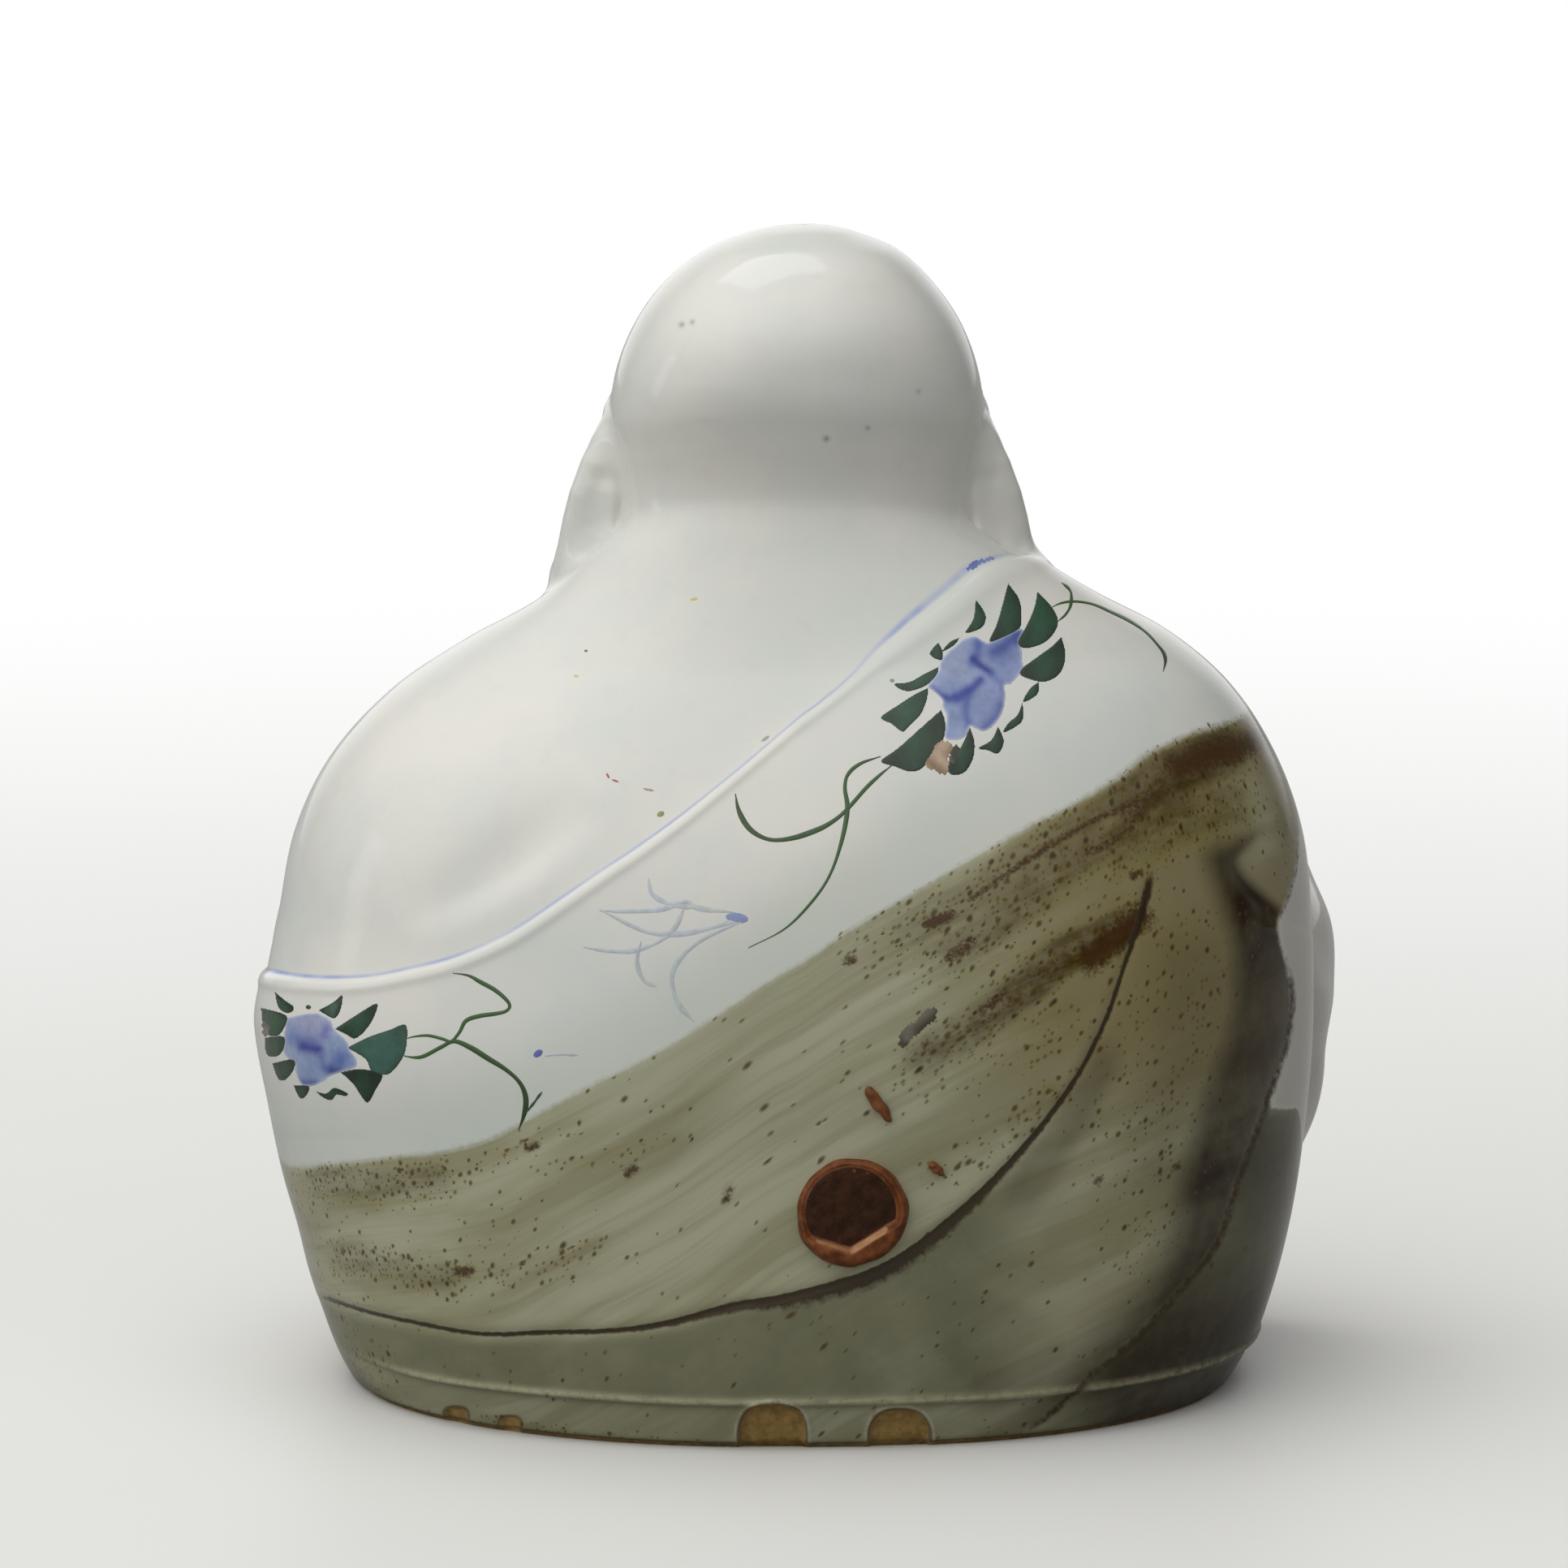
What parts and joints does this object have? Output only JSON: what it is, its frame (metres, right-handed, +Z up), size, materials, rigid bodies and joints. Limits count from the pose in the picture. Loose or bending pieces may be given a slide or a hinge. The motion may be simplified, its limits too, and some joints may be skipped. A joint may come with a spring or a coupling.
{
  "type": "laughing buddha statue",
  "caption": "Seated laughing buddha figurine in hollow glazed porcelain, with a one-shoulder robe, painted flowers, a wide sleeve and a wax seal on its back.",
  "frame": {"origin": "middle of the bounding box at the plane the figure stands on", "axes": "+Z up; the figure faces -Y, so its back is towards +Y; its left side is towards +X and its robed right side towards -X"},
  "size_m": [0.1329, 0.1036, 0.142],
  "materials": {
    "white_glaze": "glossy white glaze",
    "robe_glaze": "glossy white glaze under an olive brown wash",
    "bare_clay": "unglazed fired clay",
    "sealing_wax": "hard brown red wax with a dull sheen"
  },
  "bodies": {
    "root": {"torso_back": "robe_glaze", "torso_front": "robe_glaze", "base_slab": "bare_clay", "head_back": "white_glaze", "head_front": "white_glaze", "left_ear": "white_glaze", "right_ear": "white_glaze", "left_forearm": "white_glaze", "left_hand": "white_glaze", "right_sleeve": "robe_glaze", "right_hand": "white_glaze", "left_foot": "white_glaze", "right_foot": "white_glaze", "wax_seal": "sealing_wax", "wax_crumbs": "sealing_wax"}
  },
  "joints": []
}
